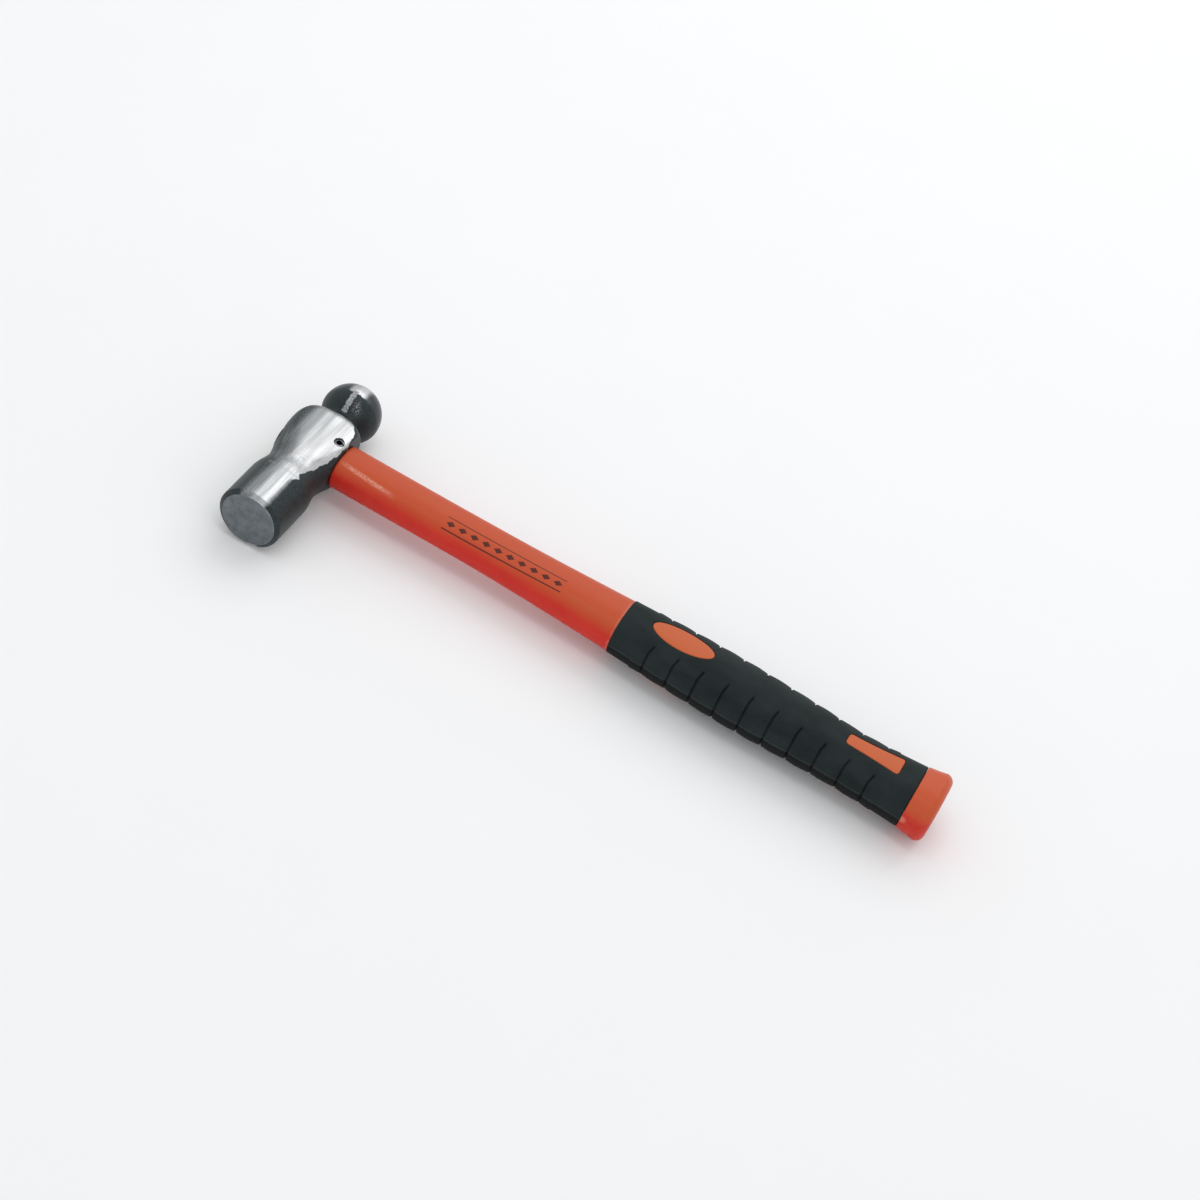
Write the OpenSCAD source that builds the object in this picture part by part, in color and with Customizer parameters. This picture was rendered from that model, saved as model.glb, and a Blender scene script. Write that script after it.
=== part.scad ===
// Ball peen hammer lying on its cheek: steel head bonded and pinned to a
// fibreglass-cored handle with a plastic jacket and a rubber grip.
// Origin: centre of the striking face. +X runs down the handle, +Y runs from
// the striking face to the ball peen, +Z leaves the upper cheek.

/* [Head] */
// Diameter of the poll
poll_d = 30.2; // [29:0.1:31.5]
// Diameter of the flat striking face
face_d = 25.7; // [20:0.1:28]
// Depth of the bevel round the striking face
face_bevel = 1.7; // [1:0.1:3]
// Striking face to the handle's axis
face_reach = 56; // [50:0.5:64]
// Length of the poll, bevel included
poll_len = 24; // [20:0.5:28]
// Diameter of the waist between poll and eye
waist_d = 26.8; // [26:0.1:28.5]
// Waist to the handle's axis
waist_reach = 20; // [19:0.5:24]
// Handle's axis origin to the head's top face
eye_top = 16.2; // [14:0.1:16.4]
// Handle's axis origin to the head's underside
eye_foot = 13.8; // [13:0.1:14.6]
// Thickness of the eye body across its cheeks
eye_t = 25.4; // [24:0.1:27]
// Diameter of the round swell that the eye body is cut from
swell_d = 35.8; // [35.6:0.2:38]
// Handle's axis to the widest point of the swell
swell_reach = 5.5; // [3:0.5:7]
// Diameter of the neck below the ball
neck_d = 16.4; // [15.6:0.2:18]
// Handle's axis to the neck
neck_reach = 20.1; // [19.8:0.1:20.6]
// Diameter of the ball peen
ball_d = 28; // [26:0.2:31]
// Handle's axis to the ball's centre
ball_reach = 31.5; // [30:0.1:33]
// Depth of the flatter side of the ball, towards the neck
ball_under = 11.6; // [11:0.1:13]

/* [Eye and pin] */
// Width of the eye, along the head
eye_w = 21.6; // [18:0.2:24]
// Thickness of the eye, across the cheeks
eye_gap = 14.4; // [13:0.2:14.8]
// Recess of the epoxy below the eye's top
epoxy_recess = 0.8; // [0.4:0.1:2]
// Diameter of the roll pin
pin_d = 4.6; // [3:0.1:6]
// Wall of the roll pin
pin_wall = 0.9; // [0.5:0.1:1.2]
// Width of the slit in the roll pin
pin_slit = 0.9; // [0.4:0.1:1.5]
// Eye's centre to the pin, along the handle
pin_reach = 10.2; // [8:0.1:11]
// Recess of the pin below each cheek
pin_recess = 0.5; // [0.2:0.1:1]

/* [Handle] */
// Width of the fibreglass core
core_w = 16; // [13:0.5:17]
// Thickness of the fibreglass core
core_t = 10; // [8:0.5:11]
// Handle's total length from the eye's centre
handle_len = 316; // [305:1:340]
// Where the rubber grip starts
grip_start = 158; // [150:1:160]
// Length of the end cap
cap_len = 12.6; // [10:0.2:16]
// Width of the jacket at the head
shaft_w = 22.2; // [21:0.2:24]
// Thickness of the jacket at the head
shaft_t = 17.2; // [15:0.2:19]
// Width of the jacket at the grip
shaft_end_w = 26.6; // [24:0.2:27]
// Thickness of the jacket at the grip
shaft_end_t = 20.6; // [18:0.2:21]
// Width of the jacket under the grip
tang_w = 20.6; // [18:0.2:22]
// Thickness of the jacket under the grip
tang_t = 15; // [13:0.2:16]

/* [Grip] */
// Width of the grip where it starts
grip_front_w = 27.4; // [27:0.2:29]
// Thickness of the grip where it starts
grip_front_t = 21.4; // [21:0.2:23]
// Greatest width of the grip
grip_w = 30.6; // [28:0.2:33]
// Greatest thickness of the grip
grip_t = 23.8; // [22:0.2:25]
// Width of the grip at its waist
grip_waist_w = 27.2; // [25:0.2:29]
// Thickness of the grip at its waist
grip_waist_t = 22.4; // [20:0.2:24]
// Greatest width of the end cap
cap_w = 33.8; // [32:0.2:38]
// Greatest thickness of the end cap
cap_t = 27; // [24:0.2:28]
// How far the grip droops towards the striking face
grip_droop = 3.6; // [0:0.2:4]
// Number of grooves on each edge
groove_count = 10; // [6:1:11]
// Handle's axis origin to the first groove
groove_first = 175.8; // [172:0.2:178]
// Spacing of the grooves
groove_pitch = 12.05; // [10:0.05:12.3]
// Depth of a groove
groove_depth = 0.7; // [0.3:0.1:1.2]
// Half the width of a groove
groove_half = 0.8; // [0.5:0.1:1.5]

/* [Inlays] */
// Length of the oval inlay
oval_len = 30; // [20:0.5:32]
// Width of the oval inlay
oval_w = 12.4; // [8:0.2:14]
// Centre of the oval inlay along the handle
oval_at = 185.8; // [182:0.2:188]
// Centre of the oval inlay beside the handle's axis
oval_side = -0.5; // [-1:0.1:1]
// Length of the tail inlay
tail_len = 26.2; // [20:0.2:27]
// Width of the tail inlay at the end nearer the head
tail_w1 = 6.8; // [5:0.2:9]
// Width of the tail inlay at the end nearer the butt
tail_w2 = 10.8; // [9:0.2:13]
// Centre of the tail inlay along the handle
tail_at = 280.6; // [278:0.2:284]
// Centre of the tail inlay beside the handle's axis
tail_side = -2.5; // [-4:0.1:-1]

/* [Hidden] */
$fn = 96;

poll_end = poll_len - face_reach;
ball_r = ball_d / 2;
neck_angle = -acos(neck_d / ball_d);
grip_end = handle_len - cap_len;
section_power = 2.3;
section_sides = 32;
core_end = handle_len - 6;
tang_end = handle_len - 4;
tang_start = grip_start - 2;
inlay_corner = 1.6;
cap_round = 3.4;
reach = 60;

// Stations of the handle: distance, half width, half thickness, droop
shaft_stations = [
    [eye_foot, shaft_w / 2, shaft_t / 2, 0],
    [80, shaft_w / 2, shaft_t / 2, 0],
    [115, shaft_w / 2 + 0.6, shaft_t / 2 + 0.5, -0.08 * grip_droop],
    [grip_start, shaft_end_w / 2, shaft_end_t / 2, -0.19 * grip_droop]
];
grip_stations = [
    [grip_start, grip_front_w / 2, grip_front_t / 2, -0.19 * grip_droop],
    [190, grip_w / 2 - 0.4, grip_t / 2 - 0.4, -0.34 * grip_droop],
    [218, grip_w / 2, grip_t / 2, -0.55 * grip_droop],
    [250, grip_w / 2 - 0.9, grip_t / 2 - 0.4, -0.75 * grip_droop],
    [275, grip_waist_w / 2, grip_waist_t / 2, -grip_droop],
    [grip_end, grip_waist_w / 2 + 1.5, grip_waist_t / 2 + 1, -grip_droop]
];
cap_stations = [
    [grip_end, grip_waist_w / 2 + 1.8, grip_waist_t / 2 + 1.2, -grip_droop],
    [handle_len - 7, cap_w / 2 - 0.7, cap_t / 2 - 0.4, -grip_droop],
    [handle_len - 4, cap_w / 2, cap_t / 2, -grip_droop],
    [handle_len - 2, cap_w / 2 - 0.7, cap_t / 2 - 0.6, -grip_droop],
    [handle_len, cap_w / 2 - cap_round, cap_t / 2 - cap_round, -grip_droop]
];

// Where the grip needs a ring: its ends, and across and between its grooves
grip_rings = concat(
    [grip_start, grip_start + 4, grip_start + 11],
    [for (i = [0 : groove_count - 1], d = [-1, 0, 1, 5])
        groove_first + i * groove_pitch + d * groove_half],
    [grip_end - 8, grip_end - 3, grip_end]
);

function ease(a, b, u) = a + (b - a) * (1 - cos(180 * u)) / 2;

// Smooth curve through the stations, by cubic pieces with matched slopes
function slope(s, i) =
    let (a = max(i - 1, 0), b = min(i + 1, len(s) - 1))
    (s[b] - s[a]) / (s[b][0] - s[a][0]);
function piece(s, x, i = 0) = (i >= len(s) - 2 || x <= s[i + 1][0]) ? i : piece(s, x, i + 1);
function station(s, x) =
    let (i = piece(s, x), h = s[i + 1][0] - s[i][0], t = (x - s[i][0]) / h)
    (2 * pow(t, 3) - 3 * t * t + 1) * s[i] + (pow(t, 3) - 2 * t * t + t) * h * slope(s, i)
    + (3 * t * t - 2 * pow(t, 3)) * s[i + 1] + (pow(t, 3) - t * t) * h * slope(s, i + 1);

// Superellipse ring of the handle, with a groove cut into both edges
function rounded(c) = sign(c) * pow(abs(c), 2 / section_power);
function groove_at(x) =
    min([for (i = [0 : groove_count - 1]) abs(x - groove_first - i * groove_pitch)]) < 0.01;
function ring(p, cut) = [for (i = [0 : section_sides - 1])
    let (a = 360 * i / section_sides,
         depth = cut ? groove_depth * max(0, abs(cos(a)) - 0.35) / 0.65 : 0)
    [p[0], p[3] + (p[1] - depth) * rounded(cos(a)), (p[2] - depth) * rounded(sin(a))]];

// Closed solid through a list of equal rings that run along +X
module sweep(rings) {
    n = len(rings[0]);
    last = len(rings) - 1;
    walls = [for (j = [0 : last - 1], i = [0 : n - 1], half = [0, 1])
        let (a = j * n + i, b = j * n + (i + 1) % n)
        half == 0 ? [a, b + n, b] : [a, a + n, b + n]];
    ends = [[for (i = [0 : n - 1]) i], [for (i = [n - 1 : -1 : 0]) last * n + i]];
    polyhedron([for (r = rings, p = r) p], concat(walls, ends), convexity = 4);
}

module place() {
    translate([0, face_reach, 0]) children();
}

// Bar with a flat-sided oval section, from x0 to x1 along the handle
module bar(w, t, x0, x1) {
    translate([x0, 0, 0]) rotate([90, 0, 90]) linear_extrude(x1 - x0) {
        square([w - t, t], center = true);
        for (s = [-1, 1]) translate([s * (w - t) / 2, 0]) circle(d = t);
    }
}

module pin_bore() {
    translate([pin_reach, 0, -reach]) cylinder(d = pin_d, h = 2 * reach);
}

// Power of the swell's fall to the neck
swell_fall = 2.8;

// Half outline of the head, radius against distance along the head
head_outline = concat(
    [[0, -face_reach], [face_d / 2, -face_reach], [poll_d / 2, face_bevel - face_reach]],
    [for (u = [0 : 0.125 : 1])
        [ease(poll_d, waist_d, u) / 2, poll_end + u * (-waist_reach - poll_end)]],
    [for (u = [0.1 : 0.1 : 1])
        [ease(waist_d, swell_d, pow(u, 0.8)) / 2, -waist_reach + u * (waist_reach + swell_reach)]],
    [for (u = [0.1 : 0.1 : 0.9])
        [swell_d / 2 - (swell_d - neck_d) / 2 * pow(u, swell_fall),
         swell_reach + u * (neck_reach - swell_reach)]],
    [for (a = [neck_angle : -neck_angle / 6 : -1])
        [ball_r * cos(a), ball_reach + ball_under * sin(a)]],
    [for (a = [0 : 10 : 80])
        [ball_r * cos(a), ball_reach + ball_r * sin(a)]],
    [[0, ball_reach + ball_r]]
);

// What is ground away above a cheek, distance along the head against height
cheek_flat = [-9, 12];
cheek_rise = 0.3;
cheek_cut = concat(
    [[-waist_reach, reach]],
    [for (u = [0 : 0.2 : 1])
        [-waist_reach + u * (waist_reach + cheek_flat[0]),
         ease(waist_d / 2 + cheek_rise, eye_t / 2, u)]],
    [for (u = [0 : 0.2 : 1])
        [cheek_flat[1] + u * (neck_reach - cheek_flat[1]),
         eye_t / 2 - (eye_t - neck_d - cheek_rise) / 2 * u * u]],
    [[neck_reach, reach]]
);

module hammer_head() {
    color([0.68, 0.69, 0.7]) place() difference() {
        rotate([-90, 0, 0]) rotate_extrude() polygon(head_outline);
        for (s = [0, 1]) mirror([0, 0, s]) rotate([90, 0, 90])
            translate([0, 0, -reach]) linear_extrude(2 * reach) polygon(cheek_cut);
        translate([eye_foot, -waist_reach, -reach])
            cube([reach, waist_reach + neck_reach, 2 * reach]);
        translate([-eye_top - reach, -waist_reach, -reach])
            cube([reach, waist_reach + neck_reach, 2 * reach]);
        bar(eye_w, eye_gap, -reach, reach);
        pin_bore();
    }
}

module roll_pin() {
    pin_len = eye_t - 2 * pin_recess;
    color([0.3, 0.31, 0.32]) place() translate([pin_reach, 0, -pin_len / 2]) difference() {
        cylinder(d = pin_d, h = pin_len);
        translate([0, 0, -1]) cylinder(d = pin_d - 2 * pin_wall, h = pin_len + 2);
        translate([0, -pin_slit / 2, -1]) cube([pin_d, pin_slit, pin_len + 2]);
    }
}

module core_rod() {
    color([0.87, 0.8, 0.6]) place() difference() {
        bar(core_w, core_t, epoxy_recess - eye_top, core_end);
        pin_bore();
    }
}

module epoxy_bond() {
    color([0.13, 0.13, 0.14]) place() difference() {
        bar(eye_w, eye_gap, epoxy_recess - eye_top, eye_foot);
        bar(core_w, core_t, -reach, reach);
        pin_bore();
    }
}

module handle_jacket() {
    shaft = [for (x = [eye_foot : (grip_start - eye_foot) / 14 : grip_start + 0.01])
        ring(station(shaft_stations, x), false)];
    color([0.8, 0.25, 0.14]) place() difference() {
        union() {
            sweep(shaft);
            bar(tang_w, tang_t, tang_start, tang_end);
        }
        bar(core_w, core_t, 0, core_end);
    }
}

module grip_form() {
    sweep([for (x = grip_rings) ring(station(grip_stations, x), groove_at(x))]);
}

// Upright prism over the oval inlay's outline
module oval_window() {
    translate([oval_at, oval_side, 0]) linear_extrude(reach)
        polygon([for (i = [0 : 47]) [oval_len / 2 * cos(7.5 * i), oval_w / 2 * sin(7.5 * i)]]);
}

// Upright prism over the tail inlay's outline: a flared wedge with round corners
function tail_half(x) = (tail_w1 + (tail_w2 - tail_w1) * pow(x / tail_len + 0.5, 1.6)) / 2;
module tail_window() {
    half = tail_len / 2;
    corner = [for (a = [0 : 22.5 : 90]) inlay_corner * [1 - cos(a), 1 - sin(a)]];
    edge = concat(
        [for (c = corner) [c[0] - half, tail_half(c[0] - half) - c[1]]],
        [for (x = [-half + 4 : 4 : half - 3]) [x, tail_half(x)]],
        [for (i = [4 : -1 : 0]) [half - corner[i][0], tail_half(half - corner[i][0]) - corner[i][1]]]
    );
    translate([tail_at, tail_side, 0]) linear_extrude(reach)
        polygon(concat(edge, [for (i = [len(edge) - 1 : -1 : 0]) [edge[i][0], -edge[i][1]]]));
}

module rubber_grip() {
    color([0.16, 0.18, 0.19]) place() difference() {
        grip_form();
        bar(tang_w, tang_t, 0, 2 * handle_len);
        for (s = [0, 1]) mirror([0, 0, s]) {
            oval_window();
            tail_window();
        }
    }
}

// Piece of the grip's form inside a window, resting on the jacket
module inlay(side) {
    color([0.86, 0.4, 0.26]) place() mirror([0, 0, side]) difference() {
        intersection() {
            grip_form();
            children();
        }
        bar(tang_w, tang_t, 0, 2 * handle_len);
    }
}

module oval_inlay_upper() {
    inlay(0) oval_window();
}

module oval_inlay_lower() {
    inlay(1) oval_window();
}

module tail_inlay_upper() {
    inlay(0) tail_window();
}

module tail_inlay_lower() {
    inlay(1) tail_window();
}

module end_cap() {
    places = concat([for (x = [grip_end : 2 : handle_len - 2]) x], [handle_len - 1, handle_len]);
    color([0.82, 0.27, 0.15]) place() difference() {
        sweep([for (x = places) ring(station(cap_stations, x), false)]);
        bar(tang_w, tang_t, 0, tang_end);
    }
}

hammer_head();
roll_pin();
core_rod();
epoxy_bond();
handle_jacket();
rubber_grip();
oval_inlay_upper();
oval_inlay_lower();
tail_inlay_upper();
tail_inlay_lower();
end_cap();
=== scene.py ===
import bpy
import bmesh
import math
import numpy as np
from mathutils import Matrix, Vector


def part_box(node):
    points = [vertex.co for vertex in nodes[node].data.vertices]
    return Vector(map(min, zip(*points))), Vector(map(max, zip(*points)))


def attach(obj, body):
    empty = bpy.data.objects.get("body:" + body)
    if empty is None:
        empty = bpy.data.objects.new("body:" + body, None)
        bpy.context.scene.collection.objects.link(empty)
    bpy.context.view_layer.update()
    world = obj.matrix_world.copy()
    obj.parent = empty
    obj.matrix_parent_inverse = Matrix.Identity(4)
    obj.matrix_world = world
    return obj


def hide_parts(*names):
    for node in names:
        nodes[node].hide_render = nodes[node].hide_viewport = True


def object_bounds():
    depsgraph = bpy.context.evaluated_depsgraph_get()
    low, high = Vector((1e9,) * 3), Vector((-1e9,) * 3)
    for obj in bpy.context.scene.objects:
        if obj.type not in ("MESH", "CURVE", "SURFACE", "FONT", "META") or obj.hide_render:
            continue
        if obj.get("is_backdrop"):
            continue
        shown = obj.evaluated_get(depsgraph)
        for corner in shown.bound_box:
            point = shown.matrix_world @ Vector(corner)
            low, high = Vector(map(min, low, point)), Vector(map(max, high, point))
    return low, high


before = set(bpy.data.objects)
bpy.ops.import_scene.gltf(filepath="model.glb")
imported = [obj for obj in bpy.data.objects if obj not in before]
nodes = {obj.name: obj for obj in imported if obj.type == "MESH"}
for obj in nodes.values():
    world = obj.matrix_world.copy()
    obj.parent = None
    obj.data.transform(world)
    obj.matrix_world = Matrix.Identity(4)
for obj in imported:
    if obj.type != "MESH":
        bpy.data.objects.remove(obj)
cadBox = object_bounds()
scene = bpy.context.scene
scene.view_settings.view_transform = "Standard"
mm = 0.001


def span(node):
    # box of a CAD node: lowest and highest corner in mm, to a hundredth
    low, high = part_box(node)
    return [round(v / mm, 2) for v in low], [round(v / mm, 2) for v in high]


headLow, headHigh = span("hammer_head")
pinLow, pinHigh = span("roll_pin")
coreLow, coreHigh = span("core_rod")
jacketLow, jacketHigh = span("handle_jacket")
gripLow, gripHigh = span("rubber_grip")
capLow, capHigh = span("end_cap")
ovalLow, ovalHigh = span("oval_inlay_upper")
tailLow, tailHigh = span("tail_inlay_upper")
print("frame loaded, box in mm", [round(v / mm, 1) for v in (cadBox[1] - cadBox[0])])


class Socket:
    # one output socket; Python operators on it add Math nodes to its tree
    def __init__(self, tree, link):
        self.tree = tree
        self.link = link

    def math(self, operation, other=None):
        return self.tree.add("ShaderNodeMath", {"operation": operation}, {0: self, 1: other})

    def __add__(self, other):
        return self.math("ADD", other)

    def __radd__(self, other):
        return self.math("ADD", other)

    def __sub__(self, other):
        return self.math("SUBTRACT", other)

    def __rsub__(self, other):
        return self.tree.number(other).math("SUBTRACT", self)

    def __mul__(self, other):
        return self.math("MULTIPLY", other)

    def __rmul__(self, other):
        return self.math("MULTIPLY", other)

    def __truediv__(self, other):
        return self.math("DIVIDE", other)

    def __rtruediv__(self, other):
        return self.tree.number(other).math("DIVIDE", self)

    def __pow__(self, other):
        return self.math("POWER", other)

    def __gt__(self, other):
        return self.math("GREATER_THAN", other)

    def __lt__(self, other):
        return self.math("LESS_THAN", other)

    def abs(self):
        return self.math("ABSOLUTE")

    def fract(self):
        return self.math("FRACT")

    def low(self, other):
        return self.math("MINIMUM", other)

    def high(self, other):
        return self.math("MAXIMUM", other)

    def ramp(self, start, end, low=0.0, high=1.0):
        # smooth step from start to end
        return self.tree.add("ShaderNodeMapRange", {"interpolation_type": "SMOOTHSTEP"},
                             {"Value": self, "From Min": start, "From Max": end,
                              "To Min": low, "To Max": high})


class Tree:
    # a node tree being filled in
    def __init__(self, nodeTree):
        self.nodeTree = nodeTree

    def add(self, kind, settings=None, values=None, out=0):
        # settings first, then the values or links of its sockets
        made = self.nodeTree.nodes.new(kind)
        for key, value in (settings or {}).items():
            setattr(made, key, value)
        for key, value in (values or {}).items():
            if value is None:
                continue
            target = made.inputs[key]
            if isinstance(value, Socket):
                self.nodeTree.links.new(value.link, target)
            else:
                target.default_value = value
        return Socket(self, made.outputs[out])

    def number(self, value):
        return self.add("ShaderNodeMath", {"operation": "ADD"}, {0: value, 1: 0.0})


class Finish(Tree):
    # a material: helpers for what its patterns are made of
    def __init__(self, name):
        self.material = bpy.data.materials.new(name)
        self.material.use_nodes = True
        super().__init__(self.material.node_tree)
        self.shader = self.nodeTree.nodes["Principled BSDF"]
        self.place = self.add("ShaderNodeTexCoord", out=3)
        split = self.nodeTree.nodes.new("ShaderNodeSeparateXYZ")
        self.nodeTree.links.new(self.place.link, split.inputs[0])
        self.x, self.y, self.z = [Socket(self, split.outputs[i]) / mm for i in range(3)]

    def scaled(self, x, y, z, turn=(0, 0, 0)):
        # object coordinates, scaled per axis, in cycles per millimetre
        return self.add("ShaderNodeMapping", None, {"Vector": self.place, "Rotation": turn,
                                                    "Scale": (x / mm, y / mm, z / mm)})

    def noise(self, where, detail=3.0, rough=0.55):
        return self.add("ShaderNodeTexNoise", None, {"Vector": where, "Scale": 1.0,
                                                     "Detail": detail, "Roughness": rough})

    def cells(self, where):
        return self.add("ShaderNodeTexVoronoi", None, {"Vector": where, "Scale": 1.0})

    def attribute(self, name):
        # a number that the mesh carries on its vertices
        return self.add("ShaderNodeAttribute", {"attribute_name": name}, out=2)

    def mixed(self, factor, first, second):
        # colour mix; the sockets are counted because a mix node has one set per data type
        made = self.nodeTree.nodes.new("ShaderNodeMix")
        made.data_type = "RGBA"
        for index, value in ((0, factor), (6, first), (7, second)):
            if isinstance(value, Socket):
                self.nodeTree.links.new(value.link, made.inputs[index])
            elif index == 0:
                made.inputs[index].default_value = value
            else:
                made.inputs[index].default_value = (*value[:3], 1.0)
        return Socket(self, made.outputs[2])

    def bumped(self, height, distance, strength=1.0):
        return self.add("ShaderNodeBump", None, {"Height": height, "Distance": distance * mm,
                                                 "Strength": strength})

    def feed(self, **values):
        # links or sets the surface's inputs and hands the material over
        names = {"colour": "Base Color", "roughness": "Roughness", "metallic": "Metallic",
                 "coat": "Coat Weight", "normal": "Normal", "coatRoughness": "Coat Roughness",
                 "specular": "Specular IOR Level", "sheen": "Sheen Weight",
                 "sheenRoughness": "Sheen Roughness"}
        for key, value in values.items():
            target = self.shader.inputs[names[key]]
            if isinstance(value, Socket):
                self.nodeTree.links.new(value.link, target)
            elif key == "colour":
                target.default_value = (*value, 1.0)
            else:
                target.default_value = value
        return self.material


def solidFrom(name, points, faces, material=None, smoothAngle=35.0):
    mesh = bpy.data.meshes.new(name)
    mesh.from_pydata([tuple(p) for p in points], [], faces)
    mesh.update()
    piece = bpy.data.objects.new(name, mesh)
    scene.collection.objects.link(piece)
    tidyMesh(piece, smoothAngle)
    if material:
        mesh.materials.append(material)
    return piece


def tidyMesh(piece, smoothAngle=35.0, merge=0.002):
    # closes seams and poles, turns the faces outwards, keeps sharp edges sharp
    work = bmesh.new()
    work.from_mesh(piece.data)
    bmesh.ops.remove_doubles(work, verts=work.verts, dist=merge * mm)
    bmesh.ops.dissolve_degenerate(work, edges=work.edges, dist=merge * mm * 0.5)
    bmesh.ops.recalc_face_normals(work, faces=work.faces)
    limit = math.radians(smoothAngle)
    for face in work.faces:
        face.smooth = True
    for edge in work.edges:
        edge.smooth = len(edge.link_faces) == 2 and edge.calc_face_angle(0.0) < limit
    work.to_mesh(piece.data)
    work.free()
    piece.data.update()


def tubeFaces(ringCount, sides, closed):
    # quads between neighbouring rings; closed joins the last ring to the first
    faces = []
    last = ringCount if closed else ringCount - 1
    for j in range(last):
        a = j * sides
        b = ((j + 1) % ringCount) * sides
        for i in range(sides):
            k = (i + 1) % sides
            faces.append((a + i, a + k, b + k, b + i))
    return faces


def tube(name, rings, smoothAngle=35.0):
    # rings: equal rings of points in mm, in order, with a pole at both ends
    rings = np.asarray(rings)
    faces = tubeFaces(len(rings), rings.shape[1], False)
    return solidFrom(name, rings.reshape(-1, 3) * mm, faces, None, smoothAngle)


def carve(piece, cutter):
    # takes the cutter out of the piece and removes the cutter
    cut = piece.modifiers.new("cut", "BOOLEAN")
    cut.object = cutter
    cut.operation = "DIFFERENCE"
    cut.solver = "EXACT"
    settle(piece)
    bpy.data.objects.remove(cutter)


def settle(piece):
    # turns the evaluated piece into its plain mesh and drops its modifiers
    graph = bpy.context.evaluated_depsgraph_get()
    plain = bpy.data.meshes.new_from_object(piece.evaluated_get(graph), depsgraph=graph,
                                            preserve_all_data_layers=True)
    piece.modifiers.clear()
    piece.data = plain


def finished(piece, node, material):
    # gives the piece its finish and hands it over in place of its CAD node
    piece.data.materials.clear()
    piece.data.materials.append(material)
    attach(piece, "root")
    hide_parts(node)
    print("made", piece.name, len(piece.data.polygons), "faces")


def ease(a, b, u):
    # from a to b with a flat start and end
    return a + (b - a) * (1 - np.cos(np.pi * u)) / 2


def softLow(a, b, blend):
    # the lower of two values with a rounded change-over
    gap = np.maximum(blend - np.abs(a - b), 0)
    return np.minimum(a, b) - gap * gap / (4 * blend)


def barRing(x, halfWidth, halfThick, sides):
    # flat-sided oval section of the core, the tang and the eye
    turn = np.linspace(0, 2 * np.pi, sides, endpoint=False)
    flat = halfWidth - halfThick
    shift = np.sign(np.cos(turn)) * np.minimum(1, np.abs(np.cos(turn)) * 4)
    y = np.cos(turn) * halfThick + shift * flat
    z = np.sin(turn) * halfThick
    return np.stack([np.full(sides, float(x)), head["axis"] + y, z], 1)


stage = {
    "floorDrop": 0.2,  # mm under the lowest point
    "floorSize": 6.0,
    "floorColour": (0.93, 0.93, 0.93),
    "floorDull": 0.985,  # darkest patches of the floor, as a share of its colour
    "airColour": (0.97, 0.985, 1.0),
    "air": 0.83,
    "keyFrom": (0.02, 1.10, 1.15),  # from the hammer's middle
    "keySize": (1.5, 1.1),
    "keyPower": 5.7,
    "topFrom": (-0.05, -0.20, 1.3),
    "topSize": (0.8, 0.05),
    "topPower": 1.2,
}
camera = {
    "place": (0.3062, -0.7185, 0.7914),
    "right": (0.8613, 0.4382, 0.2573),
    "up": (-0.4886, 0.5746, 0.6566),
    "lens": 77.03,
    "sensor": 36.0,
    "shift": (-0.0028, 0.0168),
}


def makeCamera():
    # a plain camera turned by the directions of its right and its up
    eye = bpy.data.cameras.new("camera")
    eye.lens = camera["lens"]
    eye.sensor_width = camera["sensor"]
    eye.shift_x, eye.shift_y = camera["shift"]
    eye.clip_start = 0.01
    holder = bpy.data.objects.new("camera", eye)
    scene.collection.objects.link(holder)
    right = Vector(camera["right"]).normalized()
    up = Vector(camera["up"])
    up = (up - right * up.dot(right)).normalized()
    turn = Matrix((right, up, right.cross(up))).transposed()
    holder.matrix_world = Matrix.Translation(camera["place"]) @ turn.to_4x4()
    scene.camera = holder


def areaLight(name, target, away, size, power):
    # a soft light that looks at its target
    lamp = bpy.data.lights.new(name, "AREA")
    lamp.shape = "RECTANGLE"
    lamp.size, lamp.size_y = size
    lamp.energy = power
    holder = bpy.data.objects.new(name, lamp)
    scene.collection.objects.link(holder)
    holder.location = target + Vector(away)
    aim = target - holder.location
    holder.rotation_mode = "QUATERNION"
    holder.rotation_quaternion = aim.to_track_quat("-Z", "Y")


def makeStage():
    # floor just under the hammer, pale air, a softbox behind and a thin strip above
    half = stage["floorSize"] / 2
    level = cadBox[0].z - stage["floorDrop"] * mm
    corners = [(-half, -half, level), (half, -half, level), (half, half, level),
               (-half, half, level)]
    floorFinish = Finish("paleFloor")
    grain = floorFinish.noise(floorFinish.scaled(0.02, 0.02, 0.02), 2.0)
    shade = floorFinish.mixed(grain, stage["floorColour"],
                              [c * stage["floorDull"] for c in stage["floorColour"]])
    floorFinish.feed(colour=shade, roughness=0.9, specular=0.1)
    floor = solidFrom("floor", corners, [(0, 1, 2, 3)], floorFinish.material)
    floor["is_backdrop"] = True
    world = bpy.data.worlds.new("studioAir")
    world.use_nodes = True
    air = world.node_tree.nodes["Background"]
    air.inputs[0].default_value = (*stage["airColour"], 1)
    air.inputs[1].default_value = stage["air"]
    scene.world = world
    middle = (cadBox[0] + cadBox[1]) / 2
    areaLight("softboxBehind", middle, stage["keyFrom"], stage["keySize"], stage["keyPower"])
    areaLight("stripAbove", middle, stage["topFrom"], stage["topSize"], stage["topPower"])


makeCamera()
makeStage()
print("camera, floor and lights set")

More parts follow.
